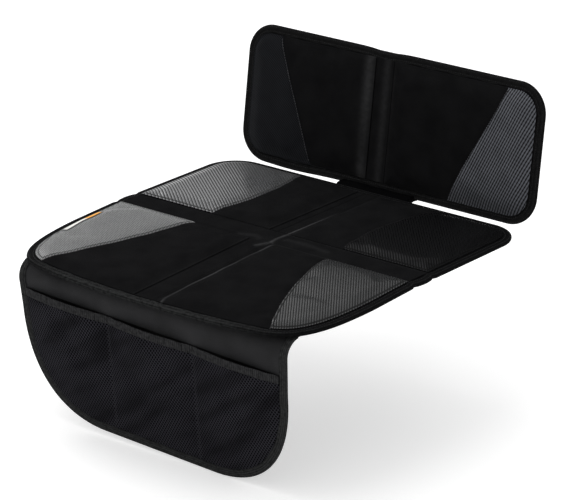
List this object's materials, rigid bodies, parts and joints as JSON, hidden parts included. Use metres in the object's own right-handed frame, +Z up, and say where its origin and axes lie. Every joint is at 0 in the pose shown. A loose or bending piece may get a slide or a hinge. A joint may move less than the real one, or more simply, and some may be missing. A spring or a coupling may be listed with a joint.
{
  "type": "car seat protector mat",
  "caption": "Quilted mat for a vehicle seat: padded seat panel, short back panel on a hinge strap, and a front flap that hangs down with net pockets.",
  "frame": {"origin": "middle of the cross fold band, on the underside of the seat panel's base cloth", "axes": "+X to the right of someone on the seat, +Y towards the seat's back, +Z up"},
  "size_m": [0.48, 0.5092, 0.4076],
  "materials": {
    "backing_cloth": "matte",
    "edge_tape": "matte",
    "quilt_cloth": "matte",
    "ribbed_insert": "satin",
    "strap_cloth": "matte",
    "flap_cloth": "satin",
    "pocket_net": "matte",
    "hem_tape": "matte",
    "woven_label": "matte"
  },
  "bodies": {
    "root": {"seat_base_cloth": "backing_cloth", "seat_edge_binding": "edge_tape", "seat_pad_rear_left": "quilt_cloth", "seat_pad_rear_right": "quilt_cloth", "seat_pad_front_left": "quilt_cloth", "seat_pad_front_right": "quilt_cloth", "seat_insert_rear_left": "ribbed_insert", "seat_insert_rear_right": "ribbed_insert", "seat_insert_front_left": "ribbed_insert", "seat_insert_front_right": "ribbed_insert", "seat_cross_band": "quilt_cloth", "seat_centre_band_rear": "quilt_cloth", "seat_centre_band_front": "quilt_cloth", "side_label": "woven_label", "back_base_cloth": "backing_cloth", "back_edge_binding": "edge_tape", "back_pad_left": "quilt_cloth", "back_pad_right": "quilt_cloth", "back_insert_left": "ribbed_insert", "back_insert_right": "ribbed_insert", "back_fold_band": "quilt_cloth", "hinge_strap": "strap_cloth", "flap_cloth": "flap_cloth", "flap_edge_binding": "edge_tape", "pocket_net": "pocket_net", "pocket_hem": "hem_tape"}
  },
  "joints": []
}
